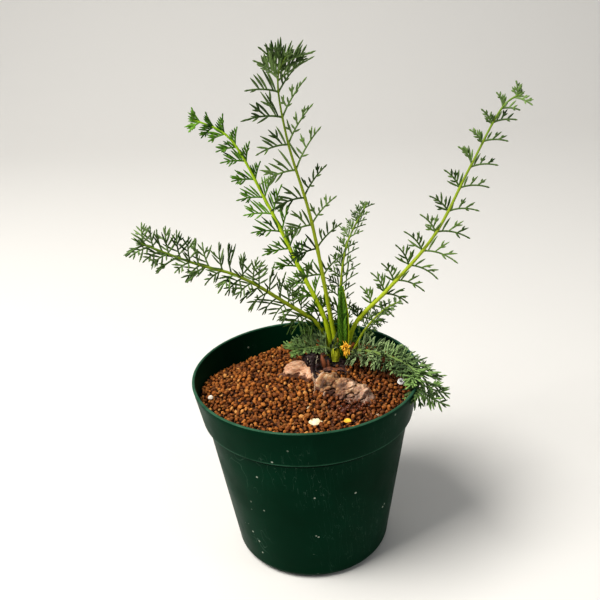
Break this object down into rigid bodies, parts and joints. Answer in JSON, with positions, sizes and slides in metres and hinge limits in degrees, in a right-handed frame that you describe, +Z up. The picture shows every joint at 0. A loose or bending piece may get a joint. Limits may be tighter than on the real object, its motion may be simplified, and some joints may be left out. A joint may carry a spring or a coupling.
{
  "type": "potted geranium",
  "caption": "Tuberous geranium with finely divided, fern-like leaves, growing off centre in a round dark green nursery pot with a rim band, filled with small reddish-brown granules.",
  "frame": {"origin": "centre of the pot's flat underside", "axes": "+Z up along the pot's axis, +X to the right with the leaf that leans furthest right, +Y to the back, away from the exposed tuber"},
  "size_m": [0.1714, 0.108, 0.2373],
  "materials": {
    "pot_plastic": "satin moulded plastic, dark green, scuffed and dusty",
    "granules": "rough, porous baked clay grains, orange-brown to dark red-brown",
    "tuber_skin": "matte wrinkled bark-like skin, pinkish cream to grey-brown",
    "crown_fibre": "matte dark fibres",
    "fresh_leaf": "satin living leaf, yellow-green stalks and dark green lobes",
    "old_leaf": "matte, finely hairy grey-green leaf",
    "dry_scale": "matte dry papery tissue, reddish brown",
    "withered_tissue": "matte withered tissue, orange-yellow",
    "pale_tissue": "matte pale dry tissue",
    "pale_mineral": "matte chalky grains, cream to white"
  },
  "bodies": {
    "root": {"nursery_pot": "pot_plastic", "growing_medium": "granules", "tuber": "tuber_skin", "crown": "crown_fibre", "tall_leaf": "fresh_leaf", "upper_left_leaf": "fresh_leaf", "lower_left_leaf": "fresh_leaf", "right_leaf": "fresh_leaf", "back_leaf": "fresh_leaf", "right_back_leaf": "old_leaf", "right_drooping_leaf": "old_leaf", "left_low_leaf": "old_leaf", "folded_young_leaf": "fresh_leaf", "petiole_sheath": "fresh_leaf", "pale_stipule": "pale_tissue", "withered_leaf": "withered_tissue", "front_crown_scale": "dry_scale", "lower_crown_scale": "dry_scale", "left_crown_scale": "dry_scale", "brown_thin_root": "dry_scale", "pale_thin_root": "pale_tissue", "cream_flake": "pale_mineral", "orange_flake": "withered_tissue", "left_pale_grain": "pale_mineral", "back_pale_grain": "pale_mineral", "ring_grain": "pale_mineral"}
  },
  "joints": []
}
